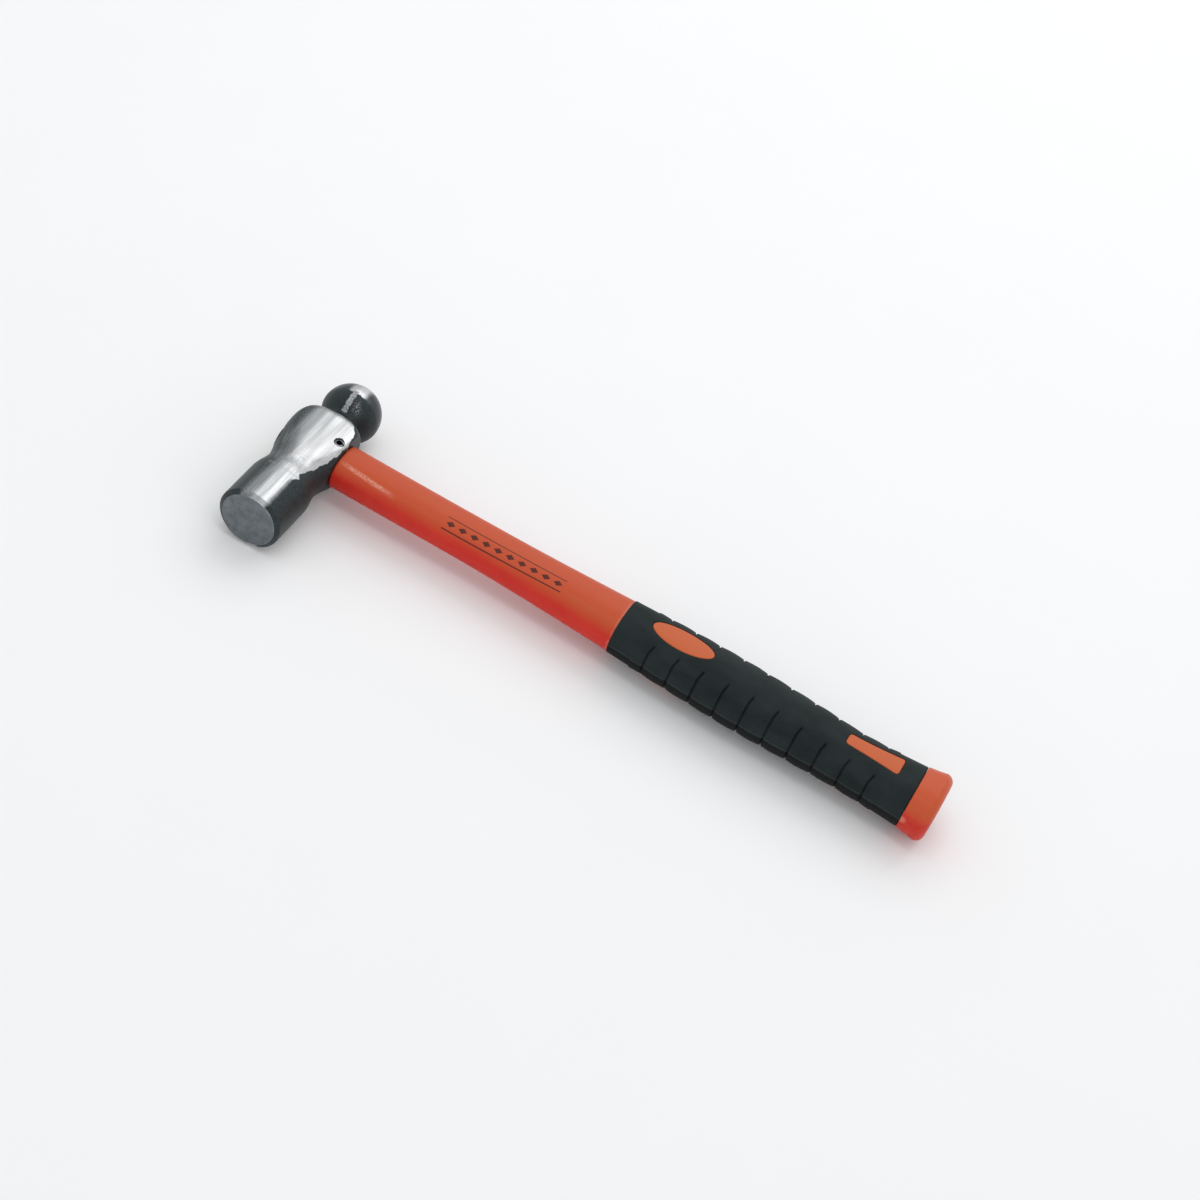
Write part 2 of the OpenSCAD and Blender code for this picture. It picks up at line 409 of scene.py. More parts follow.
head = {
    "axis": (coreLow[1] + coreHigh[1]) / 2,  # striking face to the handle's axis
    "pollRadius": 15.09,
    "faceRadius": 12.85,
    "faceCrown": 0.12,
    "faceLip": 0.2,  # where the crown turns into the bevel
    "bevel": 1.7,
    "pollLength": 24.0,
    "waistRadius": 13.4,
    "waistReach": 20.0,  # this and the next reaches are from the axis
    "swellRadius": 17.9,
    "swellReach": 5.5,
    "swellFall": 2.8,
    "neckRadius": 8.2,
    "neckReach": 20.1,
    "ballRadius": 14.0,
    "ballReach": headHigh[1] - (coreLow[1] + coreHigh[1]) / 2 - 14.0,
    "ballUnder": 11.6,  # the ball is a little flat towards the neck
    "top": -headLow[0],
    "foot": jacketLow[0],
    "cheek": 12.7,
    "flatFrom": 9.0,  # the cheek is flat from here before the axis
    "flatTo": 12.0,  # to here beyond it
    "edgeBlend": 0.5,
    "cheekBlend": 2.6,
    "eyeWidth": 10.8,
    "eyeThick": 7.2,
    "eyeChamfer": 0.5,
    "sides": 256,
    "step": 0.5,  # spacing of the rings
    "faceStep": 1.2,
    "rimStep": 0.22,
    "flashWidth": 1.4,
    "flashRise": 0.12,
    "petalEnd": 18.6,  # tip of the ground area, from the axis
    "bodyFrom": 26.0,  # where the body's marks take over from the poll's
}


def headOutline():
    # radius against distance from the face's middle, resampled to even steps
    h = head
    axis = h["axis"]
    waist = axis - h["waistReach"]
    swell = axis + h["swellReach"]
    neck = axis + h["neckReach"]
    rise = h["pollRadius"] - h["faceRadius"]
    rows = [(0.0, 0.0)]
    for u in np.linspace(0, 1, 9)[1:]:  # crowned face
        rows.append((h["faceRadius"] * u * 0.985, h["faceCrown"] * u * u))
    rows.append((h["faceRadius"], h["faceLip"]))
    for u in (0.25, 0.5, 0.75, 0.92):  # rounded bevel
        drop = (h["bevel"] - h["faceLip"]) * u ** 1.25
        rows.append((h["faceRadius"] + rise * u, h["faceLip"] + drop))
    rows.append((h["pollRadius"] - 0.03, h["bevel"] + 0.05))
    rows.append((h["pollRadius"], h["bevel"] + 0.45))
    start = h["bevel"] + 0.5
    for u in np.linspace(0, 1, 6)[1:]:  # poll
        rows.append((h["pollRadius"], start + (h["pollLength"] - start) * u))
    for u in np.linspace(0, 1, 25)[1:]:  # down to the waist
        rows.append((ease(h["pollRadius"], h["waistRadius"], u),
                     h["pollLength"] + u * (waist - h["pollLength"])))
    for u in np.linspace(0, 1, 41)[1:]:  # up to the swell
        rows.append((ease(h["waistRadius"], h["swellRadius"], u ** 0.8),
                     waist + u * (swell - waist)))
    for u in np.linspace(0, 1, 31)[1:-2]:  # down to the neck
        drop = (h["swellRadius"] - h["neckRadius"]) * u ** h["swellFall"]
        rows.append((h["swellRadius"] - drop, swell + u * (neck - swell)))
    rows.append((h["neckRadius"] + 0.35, neck + 0.1))
    rows.append((h["neckRadius"] + 0.1, neck + 0.7))
    rows.append((h["neckRadius"] + 0.1, neck + 1.4))
    start = -math.acos(h["neckRadius"] / h["ballRadius"])
    for a in np.linspace(start, np.pi / 2, 60)[2:]:
        reach = h["ballUnder"] if a < 0 else h["ballRadius"]
        rows.append((h["ballRadius"] * np.cos(a), axis + h["ballReach"] + reach * np.sin(a)))
    rows[-1] = (0.0, rows[-1][1])
    rows = np.array(rows)
    length = np.concatenate([[0], np.cumsum(np.hypot(*np.diff(rows, axis=0).T))])
    keep = [0.0]
    while keep[-1] < length[-1] - 0.1:
        onFace = keep[-1] < h["faceRadius"] - 1.5
        onRim = abs(keep[-1] - h["faceRadius"] - 1.2) < 2.7
        step = h["faceStep"] if onFace else h["rimStep"] if onRim else h["step"]
        keep.append(min(keep[-1] + step, length[-1]))
    keep[-1] = length[-1]
    return np.interp(keep, length, rows[:, 0]), np.interp(keep, length, rows[:, 1])


def cheekHeight(y):
    # half thickness left by the belt, distance along the head from the eye
    h = head
    waist = h["waistRadius"] + 0.3
    rise = np.clip((y + h["waistReach"]) / (h["waistReach"] - h["flatFrom"]), 0, 1)
    near = ease(waist, h["cheek"], rise)
    fall = np.clip((y - h["flatTo"]) / (h["neckReach"] - h["flatTo"]), 0, 1)
    far = h["cheek"] - (h["cheek"] - h["neckRadius"] - 0.15) * fall ** 2
    return np.where(y < 0, near, far)


def petal(y):
    # how far the ground area reaches to +X and to -X of the cheek's middle line
    at = [-29, -22, -14, -9.5, -5.5, -1.5, 2.3, 6.5, 9.9, 13.7, 16, 17.4, 18.6]
    plus = [7.5, 8.8, 10.9, 12.2, 13.1, 13.6, 13.7, 13.2, 12.2, 9.6, 6.6, 3.6, -1.5]
    minus = [6.5, 8.0, 10.4, 11.7, 12.6, 13.1, 13.3, 13.0, 12.2, 10.6, 8.8, 7.0, 3.5]
    return np.interp(y, at, plus), -np.interp(y, at, minus)


def headPoints(radius, along):
    # the turned outline, cut by top, foot and cheeks; also where the flash stands
    h = head
    turn = np.linspace(0, 2 * np.pi, h["sides"], endpoint=False)
    cosine = np.cos(turn)[None, :]
    sine = np.sin(turn)[None, :]
    fromEye = (along - h["axis"])[:, None]
    r = np.repeat(radius[:, None], h["sides"], 1)
    inBody = (fromEye > -h["waistReach"]) & (fromEye < h["neckReach"])
    upper = np.where(cosine < -0.05, h["top"] / np.maximum(-cosine, 0.05), 99) + 0 * r
    lower = np.where(cosine > 0.05, h["foot"] / np.maximum(cosine, 0.05), 99) + 0 * r
    flat = cheekHeight(fromEye) / np.maximum(np.abs(sine), 0.05)
    cut = softLow(softLow(r, upper, h["edgeBlend"]), lower, h["edgeBlend"])
    r = np.where(inBody, softLow(cut, flat, h["cheekBlend"]), r)
    # forged flash left on the ball's side, on both cheeks' lines
    ball = h["axis"] + h["ballReach"]
    neck = h["axis"] + h["neckReach"]
    ahead = np.clip((ball + 1.0 - along) / 1.2, 0, 1)
    behind = np.clip((along - neck - 1.0) / 1.5, 0, 1)
    wander = 0.18 * np.sin(along * 2.1) + 0.1 * np.sin(along * 5.3 + 1.0)
    flash = (h["flashWidth"] + wander[:, None] - np.abs(r * cosine)) / 0.35
    flash = np.clip(flash, 0, 1) * (ahead * behind)[:, None] * (np.abs(sine) > 0.5)
    r = r + h["flashRise"] * flash
    points = np.stack([r * cosine, np.repeat(along[:, None], h["sides"], 1), r * sine], 2)
    return points.reshape(-1, 3), flash.reshape(-1)


def headMarks(points, along):
    # what is belt ground, worn or scuffed, and where light or shade is painted, from 0 to 1 at
    # every point
    h = head
    x, y, z = points.T
    ball = h["axis"] + h["ballReach"]
    neck = h["axis"] + h["neckReach"]
    ragged = 0.18 * np.sin(y * 0.9) + 0.1 * np.sin(y * 2.3 + 0.6)
    # the petal on each cheek
    plus, minus = petal(along - h["axis"])
    plus = np.repeat(plus, h["sides"])
    minus = np.repeat(minus, h["sides"])
    inside = np.minimum(plus + ragged - x, x - minus + ragged * 0.6)
    tip = np.where(y < h["axis"], 9.0, h["axis"] + h["petalEnd"] - y)
    body = np.clip(0.5 + np.minimum(inside, tip) / 0.7, 0, 1)
    # the poll's ground band, by the angle from the cheek's middle; it widens at the waist
    side = np.degrees(np.arctan2(x, np.abs(z)))
    band = np.interp(y, [0, 18, 21, 23, 24.3, 25.6, 30], [25.5, 25, 26, 30, 36, 31, 29])
    soft = np.interp(y, [0, 2, 19, 23.5], [16.0, 30.0, 26.0, 3.0])
    poll = np.clip(0.5 + (band - side + ragged * 2) / soft, 0, 1)
    poll = poll * np.clip((side + 36 + ragged * 5) / 16.0, 0, 1)
    dome = np.clip(0.5 + (y - ball + 0.6 + 0.25 * np.sin(x * 2.1)) / 0.5, 0, 1)
    ground = np.where((y > h["bodyFrom"]) & (y < neck), body, poll)
    ground = np.where(y > neck, dome, ground)
    # worn line round the striking face, strongest above its handle side, where it is also a painted
    # highlight
    centre = np.hypot(x, z)
    facing = (centre < h["faceRadius"] + 0.05) & (y < 1.0)
    rim = np.clip(1 - np.abs(centre - h["faceRadius"] - 0.35) / 0.4, 0, 1)
    rim = rim * (0.32 + 0.3 * np.clip(1 - np.abs(side - 35) / 55, 0, 1) * (z > 0))
    ground = np.where(y < 0.9, np.maximum(np.maximum(ground, facing), rim), ground)
    # painted shade: a greyer line where the poll's band meets the waist, on an arc that leans to
    # the handle
    arc = np.interp(side, [-90, -40, 0, 30, 45, 60], [27, 25, 23, 24, 26, 29])
    shoulderShade = np.clip(1 - np.abs(y - arc) / 1.2, 0, 1) * (y < 40)
    scuff = np.exp(-((x - 4.6) / 1.9) ** 2 - ((y - ball + 6.0) / 2.4) ** 2) * (z > 0)
    return {"ground": ground, "facing": facing * 1.0, "scuff": scuff, "shoulderShade": shoulderShade}


def eyeCutter():
    # eye for the handle, wider at its top mouth
    h = head
    top = -h["top"]
    chamfer = h["eyeChamfer"]
    steps = ((-20, 3.0), (top, chamfer), (top + chamfer, 0.0), (20, 0.0))
    rings = [barRing(x, h["eyeWidth"] + grow, h["eyeThick"] + grow, 96) for x, grow in steps]
    middle = np.array([[0, h["axis"], 0]])
    ends = [rings[0] * [1, 0, 0] + middle, rings[-1] * [1, 0, 0] + middle]
    return tube("eyeCut", [ends[0]] + rings + [ends[1]])


def boreCutter():
    # bore for the pin, with a broken edge at both cheeks
    cheek = head["cheek"]
    turn = np.linspace(0, 2 * np.pi, 48, endpoint=False)
    fit = pin["outer"] + 0.02
    edge = fit + 0.3
    half = [(cheek - 0.25, fit), (cheek + 0.1, edge), (20, 3), (20, 0)]
    rings = []
    for z, wide in [(-z, wide) for z, wide in reversed(half)] + half:
        rings.append(np.stack([pin["reach"] + wide * np.cos(turn),
                               head["axis"] + wide * np.sin(turn),
                               np.full(len(turn), float(z))], 1))
    return tube("pinBore", rings)


def makeHead():
    radius, along = headOutline()
    points, flash = headPoints(radius, along)
    mesh = bpy.data.meshes.new("hammerHead")
    mesh.from_pydata([tuple(p) for p in points * mm], [],
                     tubeFaces(len(along), head["sides"], False))
    mesh.update()
    marks = headMarks(points, along)
    marks["flash"] = flash
    for name, value in marks.items():
        layer = mesh.attributes.new(name, "FLOAT", "POINT")
        layer.data.foreach_set("value", np.ascontiguousarray(value, np.float32))
    piece = bpy.data.objects.new("hammerHead", mesh)
    scene.collection.objects.link(piece)
    tidyMesh(piece, 40.0)
    carve(piece, eyeCutter())
    carve(piece, boreCutter())
    tidyMesh(piece, 35.0)
    return piece


def headSteel():
    s = Finish("groundAndPaintedSteel")
    ground = s.attribute("ground")
    facing = s.attribute("facing")
    flash = s.attribute("flash")
    scuff = s.attribute("scuff")
    shoulderShade = s.attribute("shoulderShade")
    # belt streaks run along the head
    streak = s.noise(s.scaled(2.2, 0.035, 2.2), 4.0, 0.6)
    fine = s.noise(s.scaled(9.0, 0.12, 9.0), 2.0, 0.5)
    broad = s.noise(s.scaled(0.30, 0.02, 0.30), 2.0, 0.5)
    brushed = (streak * 0.38 + fine * 0.17 + broad * 0.45).ramp(0.33, 0.68)
    steel = s.mixed(brushed, (0.37, 0.38, 0.39), (0.70, 0.70, 0.70))
    # painted shade: the steel is darker towards the head's top (-X), standing in for the dark
    # reflection there, broken up by the streaks
    start = s.y.ramp(24.0, 46.0, -8.0, -14.0)
    end = s.y.ramp(24.0, 46.0, 3.5, 4.5)
    away = s.x + (streak - 0.5) * 4.0 + (broad - 0.5) * 7.0
    away = ((away - start) / (end - start)).ramp(0.0, 1.0)
    steel = s.mixed(away, (0.055, 0.065, 0.068), steel)
    # fine pits and flecks, most of them in the painted shade towards the top
    fleck = s.noise(s.scaled(1.5, 0.8, 1.5), 4.0, 0.75)
    steel = s.mixed((1 - away) * fleck.ramp(0.48, 0.66) * 0.5, steel, (0.30, 0.32, 0.33))
    steel = s.mixed((1 - fleck.ramp(0.32, 0.46)) * 0.28, steel, (0.15, 0.16, 0.165))
    # painted shade: the dome is left bright along the cheek's line and painted dark beside it, for
    # the dark reflection there
    domeSideShade = ((s.x - 0.6 + (streak - 0.5) * 2.0).abs()).ramp(2.6, 5.6)
    onDome = s.y.ramp(80.0, 84.0)
    steel = s.mixed(domeSideShade * onDome * 0.96, steel, (0.045, 0.052, 0.055))
    # the striking face is duller, with scratches in every direction; its colour is painted darker,
    # as shade for the dim reflection it shows
    blotch = s.noise(s.scaled(0.25, 0.25, 0.25), 4.0, 0.6)
    scratchA = s.noise(s.scaled(0.25, 3, 7.0, (0, 0.7, 0)), 3.0)
    scratchB = s.noise(s.scaled(6.0, 3, 0.22, (0, 0.5, 0)), 3.0)
    scratch = scratchA.high(scratchB).ramp(0.5, 0.75)
    faceTone = s.mixed(blotch.ramp(0.3, 0.7), (0.125, 0.148, 0.158), (0.195, 0.218, 0.228))
    faceTone = s.mixed(scratch * 0.25, faceTone, (0.36, 0.37, 0.38))
    steel = s.mixed(facing, steel, faceTone)
    # black paint over forged scale, with dust and small chips
    peel = s.noise(s.scaled(0.7, 0.7, 0.7), 4.0, 0.6)
    forged = s.noise(s.scaled(0.16, 0.16, 0.16), 3.0, 0.5)
    chip = s.noise(s.scaled(1.1, 0.8, 1.1), 5.0, 0.7).ramp(0.69, 0.73)
    paint = s.mixed(peel.ramp(0.3, 0.75), (0.010, 0.018, 0.019), (0.024, 0.036, 0.038))
    paint = s.mixed(chip * 0.5, paint, (0.12, 0.13, 0.135))
    rough = s.noise(s.scaled(1.6, 1.6, 1.6), 5.0, 0.75)
    flashTone = s.mixed(rough.ramp(0.36, 0.6), (0.13, 0.14, 0.145), (0.50, 0.51, 0.52))
    # painted shade along the poll's shoulder
    steel = s.mixed(shoulderShade * 0.45, steel, (0.30, 0.31, 0.32))
    # edge of the ground area is broken by the grain
    edge = (ground + (streak - 0.5) * 0.3).ramp(0.3, 0.7)
    bare = edge.high(scuff * rough.ramp(0.46, 0.6) * 0.7)
    colour = s.mixed(bare, paint, steel)
    shown = flash.ramp(0.3, 0.7)
    colour = s.mixed(shown, colour, flashTone)
    metal = bare.high(shown * rough.ramp(0.35, 0.6))
    shine = (1 - bare) * (0.36 + peel * 0.16) + bare * (0.24 + streak * 0.2)
    shine = shine + facing * 0.16 + shown * 0.2
    relief = bare * (streak * 0.5 + fine * 0.5) * 0.30 + (1 - bare) * (peel + forged) * 0.5
    relief = relief + shown * rough * 1.2 + facing * scratch * 0.06
    return s.feed(colour=colour, metallic=metal, roughness=shine, specular=0.3,
                  normal=s.bumped(relief, 0.10, 0.55))


pin = {
    "reach": 10.2,
    "outer": 2.3,
    "inner": 1.4,
    "slit": 0.9,
    "length": pinHigh[2] - pinLow[2],
    "edge": 0.42,  # rounding of the two ends
    "innerEdge": 0.12,
    "arcSteps": 44,
}


def makePin():
    # a split tube: the same C-shaped loop at every level, closed by strips at both ends
    p = pin
    start = math.asin(p["slit"] / 2 / p["outer"])
    turn = np.linspace(start, 2 * np.pi - start, p["arcSteps"])
    rings = []
    half = p["length"] / 2
    levels = [(-half, p["edge"]), (-half + p["edge"] * 0.4, p["edge"] * 0.4),
              (-half + p["edge"], 0)]
    levels += [(u * (half - p["edge"]), 0) for u in np.linspace(-0.9, 0.9, 19)]
    levels += [(-z, inset) for z, inset in reversed(levels[:3])]
    for z, inset in levels:
        outer = p["outer"] - inset
        inner = p["inner"] + inset * p["innerEdge"] / p["edge"]
        loop = [(outer * math.cos(a), outer * math.sin(a)) for a in turn]
        loop += [(inner * math.cos(a), inner * math.sin(a)) for a in turn[::-1]]
        rings.append([(p["reach"] + u, head["axis"] + v, z) for u, v in loop])
    rings = np.array(rings)
    sides = rings.shape[1]
    faces = tubeFaces(len(rings), sides, False)
    last = (len(rings) - 1) * sides
    for i in range(p["arcSteps"] - 1):
        mate = sides - 1 - i
        faces.append((i, mate, mate - 1, i + 1))
        faces.append((last + i, last + i + 1, last + mate - 1, last + mate))
    return solidFrom("rollPin", rings.reshape(-1, 3) * mm, faces)


def pinSteel():
    s = Finish("springSteel")
    mottled = s.noise(s.scaled(1.3, 1.3, 0.8), 4.0, 0.6)
    end = pin["length"] / 2
    worn = s.z.abs().ramp(end - 0.3, end - 0.05)
    colour = s.mixed(mottled.ramp(0.3, 0.7), (0.03, 0.035, 0.037), (0.09, 0.095, 0.1))
    colour = s.mixed(worn * mottled.ramp(0.2, 0.5), colour, (0.27, 0.29, 0.30))
    return s.feed(colour=colour, metallic=1.0, roughness=0.32 + mottled * 0.25,
                  normal=s.bumped(mottled, 0.04))


finished(makePin(), "roll_pin", pinSteel())
finished(makeHead(), "hammer_head", headSteel())

core = {
    "fibre": 0.9,  # fibre bundles per mm across the cut end
    "pale": (0.62, 0.55, 0.34),
    "dark": (0.30, 0.24, 0.12),
}


def coreGlass():
    s = Finish("pultrudedGlass")
    ends = s.cells(s.scaled(0.05, core["fibre"] * 1.6, core["fibre"] * 1.6))
    along = s.noise(s.scaled(0.02, 2.4, 2.4), 4.0, 0.6)
    patch = s.noise(s.scaled(0.1, 0.35, 0.35), 3.0)
    colour = s.mixed((ends * 0.7 + along * 0.5).ramp(0.25, 0.85), core["pale"], core["dark"])
    colour = s.mixed(patch * 0.35, colour, (0.50, 0.42, 0.25))
    return s.feed(colour=colour, roughness=0.45 + ends * 0.2,
                  normal=s.bumped(ends + along, 0.05))


def bondResin():
    s = Finish("epoxyResin")
    cloud = s.noise(s.scaled(0.4, 0.4, 0.4), 3.0)
    bubble = s.cells(s.scaled(1.1, 1.1, 1.1)).ramp(0.12, 0.22)
    colour = s.mixed(cloud, (0.018, 0.019, 0.021), (0.05, 0.048, 0.045))
    return s.feed(colour=colour, roughness=0.18 + cloud * 0.2, coat=0.4,
                  normal=s.bumped(bubble + cloud * 0.6, 0.12))


for node, material in (("core_rod", coreGlass()), ("epoxy_bond", bondResin())):
    nodes[node].data.materials.clear()
    nodes[node].data.materials.append(material)
print("core and epoxy finished")

handle = {
    "droop": 3.6,  # how far the butt's middle lies towards the striking face
    "power": 2.3,  # superellipse exponent of the section
    "sides": 256,
    "front": jacketLow[0],
    "gripFrom": gripLow[0],
    "gripTo": gripHigh[0],
    "coreEnd": coreHigh[0],
    "tangEnd": jacketHigh[0],
    "coreBar": (8.0, 5.0),  # half width and half thickness
    "tangBar": (10.3, 7.5),
    "fit": 0.05,  # clearance round the tang and the core
    "curvePoints": 25,
    "sizeTop": 20.0,  # largest half size and droop that the curves can hold
    "droopTop": 8.0,
}
# stations: distance, half width, half thickness, share of the droop
handle["shaft"] = [(handle["front"], 11.1, 8.6, 0), (80, 11.1, 8.6, 0),
                   (115, 11.7, 9.1, 0.08), (handle["gripFrom"], 13.3, 10.3, 0.19)]
handle["grip"] = [(handle["gripFrom"], 13.7, 10.7, 0.19), (190, 14.9, 11.5, 0.34),
                  (218, 15.3, 11.9, 0.55), (250, 14.4, 11.5, 0.75), (275, 13.6, 11.2, 1),
                  (handle["gripTo"], 15.1, 12.2, 1)]
handle["cap"] = [(handle["gripTo"], 15.4, 12.4, 1), (309, 16.2, 13.1, 1),
                 (312, 16.9, 13.5, 1), (314, 16.9, 13.5, 1), (capHigh[0], 16.9, 13.5, 1)]
grooves = {
    "first": 175.8,
    "pitch": 12.05,
    "count": 10,
    "halfWidth": 0.7,
    "depth": 0.95,
    "farLoss": 0.35,  # grooves are shallower on the side away from the face
    "puff": 0.38,  # crown of the rubber between two grooves
    "hookFrom": 0.80,  # height where a groove's end starts to hook, as a sine
    "hook": 4.0,
    "hookMiddle": 0.5,  # the middle grooves reach higher than the outer ones
    "fade": (0.90, 0.96),
    "fadeMiddle": 0.28,
    "puffFade": (0.55, 0.9),
    "ridgeWidth": 0.045,
    "before": 0.9,  # stretch with close rings round each groove
    "after": 1.9,
    "rings": 15,
}


def stationAt(stations, x):
    # half width, half thickness and droop, by cubic pieces with matched slopes
    s = np.array(stations, float)
    slopes = []
    for i in range(len(s)):
        after = s[min(i + 1, len(s) - 1)]
        before = s[max(i - 1, 0)]
        slopes.append((after - before) / (after[0] - before[0]))
    i = int(np.clip(np.searchsorted(s[:, 0], x) - 1, 0, len(s) - 2))
    gap = s[i + 1][0] - s[i][0]
    t = (x - s[i][0]) / gap
    made = (2 * t ** 3 - 3 * t * t + 1) * s[i] + (t ** 3 - 2 * t * t + t) * gap * slopes[i]
    made += (3 * t * t - 2 * t ** 3) * s[i + 1] + (t ** 3 - t * t) * gap * slopes[i + 1]
    return made[1], made[2], -made[3] * handle["droop"]


def gripSurface(x, y):
    # height of the grip's upper surface over a point
    wide, thick, droop = stationAt(handle["grip"], x)
    across = min(abs(y - head["axis"] - droop) / wide, 0.98)
    return thick * (1 - across ** handle["power"]) ** (1 / handle["power"])


def handleTree(name, stations):
    # unit tube in, handle out: x stays, the unit circle becomes the section at x
    group = bpy.data.node_groups.new(name, "GeometryNodeTree")
    group.is_modifier = True
    face = group.interface
    face.new_socket("Geometry", in_out="INPUT", socket_type="NodeSocketGeometry")
    face.new_socket("Geometry", in_out="OUTPUT", socket_type="NodeSocketGeometry")
    sizes = [("Section Power", handle["power"]), ("Axis", head["axis"]),
             ("First Groove", grooves["first"]), ("Groove Pitch", grooves["pitch"]),
             ("Groove Count", float(grooves["count"])),
             ("Groove Half Width", grooves["halfWidth"]),
             ("Groove Depth", grooves["depth"]), ("Puff", grooves["puff"]),
             ("Far Side Loss", grooves["farLoss"]),
             ("Ridge Height", 0.0)]
    for label, value in sizes:
        made = face.new_socket(label, in_out="INPUT", socket_type="NodeSocketFloat")
        made.default_value = value
    face.new_socket("Finish", in_out="INPUT", socket_type="NodeSocketMaterial")
    t = Tree(group)
    given = group.nodes.new("NodeGroupInput")
    put = {s.name: Socket(t, s) for s in given.outputs if s.name}
    place = t.add("GeometryNodeInputPosition")
    split = group.nodes.new("ShaderNodeSeparateXYZ")
    group.links.new(place.link, split.inputs[0])
    x, c, s = [Socket(t, split.outputs[i]) for i in range(3)]
    outer = t.add("GeometryNodeInputNamedAttribute", {"data_type": "FLOAT"},
                  {"Name": "outer"})
    inset = t.add("GeometryNodeInputNamedAttribute", {"data_type": "FLOAT"},
                  {"Name": "inset"})
    # half width, half thickness and droop of the stations
    low, high = stations[0][0], stations[-1][0]
    along = (x - low) / (high - low)
    sized = []
    for column, top in enumerate((handle["sizeTop"], handle["sizeTop"], handle["droopTop"])):
        curve = group.nodes.new("ShaderNodeFloatCurve")
        line = curve.mapping.curves[0]
        rows = [(u, abs(stationAt(stations, low + (high - low) * u)[column]) / top)
                for u in np.linspace(0, 1, handle["curvePoints"])]
        line.points[0].location = rows[0]
        line.points[-1].location = rows[-1]
        for u, v in rows[1:-1]:
            line.points.new(u, v)
        curve.mapping.update()
        group.links.new(along.link, curve.inputs["Value"])
        sized.append(Socket(t, curve.outputs[0]) * top)
    wide, thick, droop = sized
    # grooves: a narrow dip at each pitch, on the two narrow sides only
    g = grooves
    number = (x - put["First Groove"]) / put["Groove Pitch"]
    nearest = number.math("ROUND").high(0.0).low(put["Groove Count"] - 1)
    away = (number - nearest) * put["Groove Pitch"]
    # the end of each groove hooks a little towards the head; it rises most in the middle
    middle = (nearest / (put["Groove Count"] - 1) - 0.5).abs()
    lift = s.abs()
    hook = lift - g["hookFrom"] + middle * g["hookMiddle"]
    away = away - hook.high(0.0) * g["hook"]
    dip = 1 - (away.abs() / put["Groove Half Width"]).ramp(0.0, 1.0)
    dip = dip * (1 - (c > 0.0) * put["Far Side Loss"])
    reach = 1 - (lift + middle * g["fadeMiddle"]).ramp(*g["fade"])
    between = (number.fract() - 0.5).abs() * 2
    inRange = (number > -0.5) * (number < (put["Groove Count"] - 0.5))
    puff = (1 - between * between) * inRange * put["Puff"] * (1 - lift.ramp(*g["puffFade"]))
    # parting ridge on the narrow sides' crests
    ridge = put["Ridge Height"] * (1 - lift.ramp(0.0, g["ridgeWidth"]))
    out = puff - dip * reach * put["Groove Depth"] - inset + ridge
    # superellipse section
    bend = 2.0 / put["Section Power"]
    y = c.math("SIGN") * (c.abs() ** bend) * (wide + out)
    z = s.math("SIGN") * (s.abs() ** bend) * (thick + out)
    spot = t.add("ShaderNodeCombineXYZ", None, {0: x, 1: y + put["Axis"] - droop, 2: z})
    chosen = outer > 0.5
    moved = t.add("GeometryNodeSetPosition", None,
                  {"Geometry": put["Geometry"], "Selection": chosen, "Position": spot})
    shrunk = t.add("GeometryNodeTransform", None, {"Geometry": moved, "Scale": (mm, mm, mm)})
    real = t.add("GeometryNodeRealizeInstances", None, {"Geometry": shrunk})
    dressed = t.add("GeometryNodeSetMaterial", None,
                    {"Geometry": real, "Material": put["Finish"]})
    leave = group.nodes.new("NodeGroupOutput")
    group.links.new(dressed.link, leave.inputs[0])
    return group


def sweepPiece(name, rings, stations, closed, inputs):
    # rings: (points, outer flag, inset) with outer ones still on the unit circle
    points = np.concatenate([r[0] for r in rings])
    sides = len(rings[0][0])
    mesh = bpy.data.meshes.new(name)
    mesh.from_pydata([tuple(p) for p in points], [], tubeFaces(len(rings), sides, closed))
    mesh.update()
    for label, column in (("outer", 1), ("inset", 2)):
        layer = mesh.attributes.new(label, "FLOAT", "POINT")
        values = np.repeat([float(r[column]) for r in rings], sides)
        layer.data.foreach_set("value", values.astype(np.float32))
    piece = bpy.data.objects.new(name, mesh)
    scene.collection.objects.link(piece)
    group = handleTree(name + "Rule", stations)
    rule = piece.modifiers.new("rule", "NODES")
    rule.node_group = group
    for item in group.interface.items_tree:
        if item.name in inputs and item.in_out == "INPUT":
            rule[item.identifier] = inputs[item.name]
    settle(piece)
    tidyMesh(piece, 50.0)
    return piece


def unitRing(x, inset=0.0):
    # an outer ring, which the rule shapes
    turn = np.linspace(0, 2 * np.pi, handle["sides"], endpoint=False)
    return np.stack([np.full(len(turn), float(x)), np.cos(turn), np.sin(turn)], 1), 1, inset


def roundedStart(x, radius, count):
    # outer rings that round the front rim
    turns = np.linspace(0, math.pi / 2, count)
    return [unitRing(x + radius * (1 - math.cos(a)), radius * (1 - math.sin(a))) for a in turns]


def boreRing(x, bar, extra=0.0):
    # an inner ring round the tang or the core
    return barRing(x, bar[0] + extra, bar[1] + extra, handle["sides"]), 0, 0.0


def poleRing(x, centre):
    return np.tile([float(x), centre, 0.0], (handle["sides"], 1)), 0, 0.0


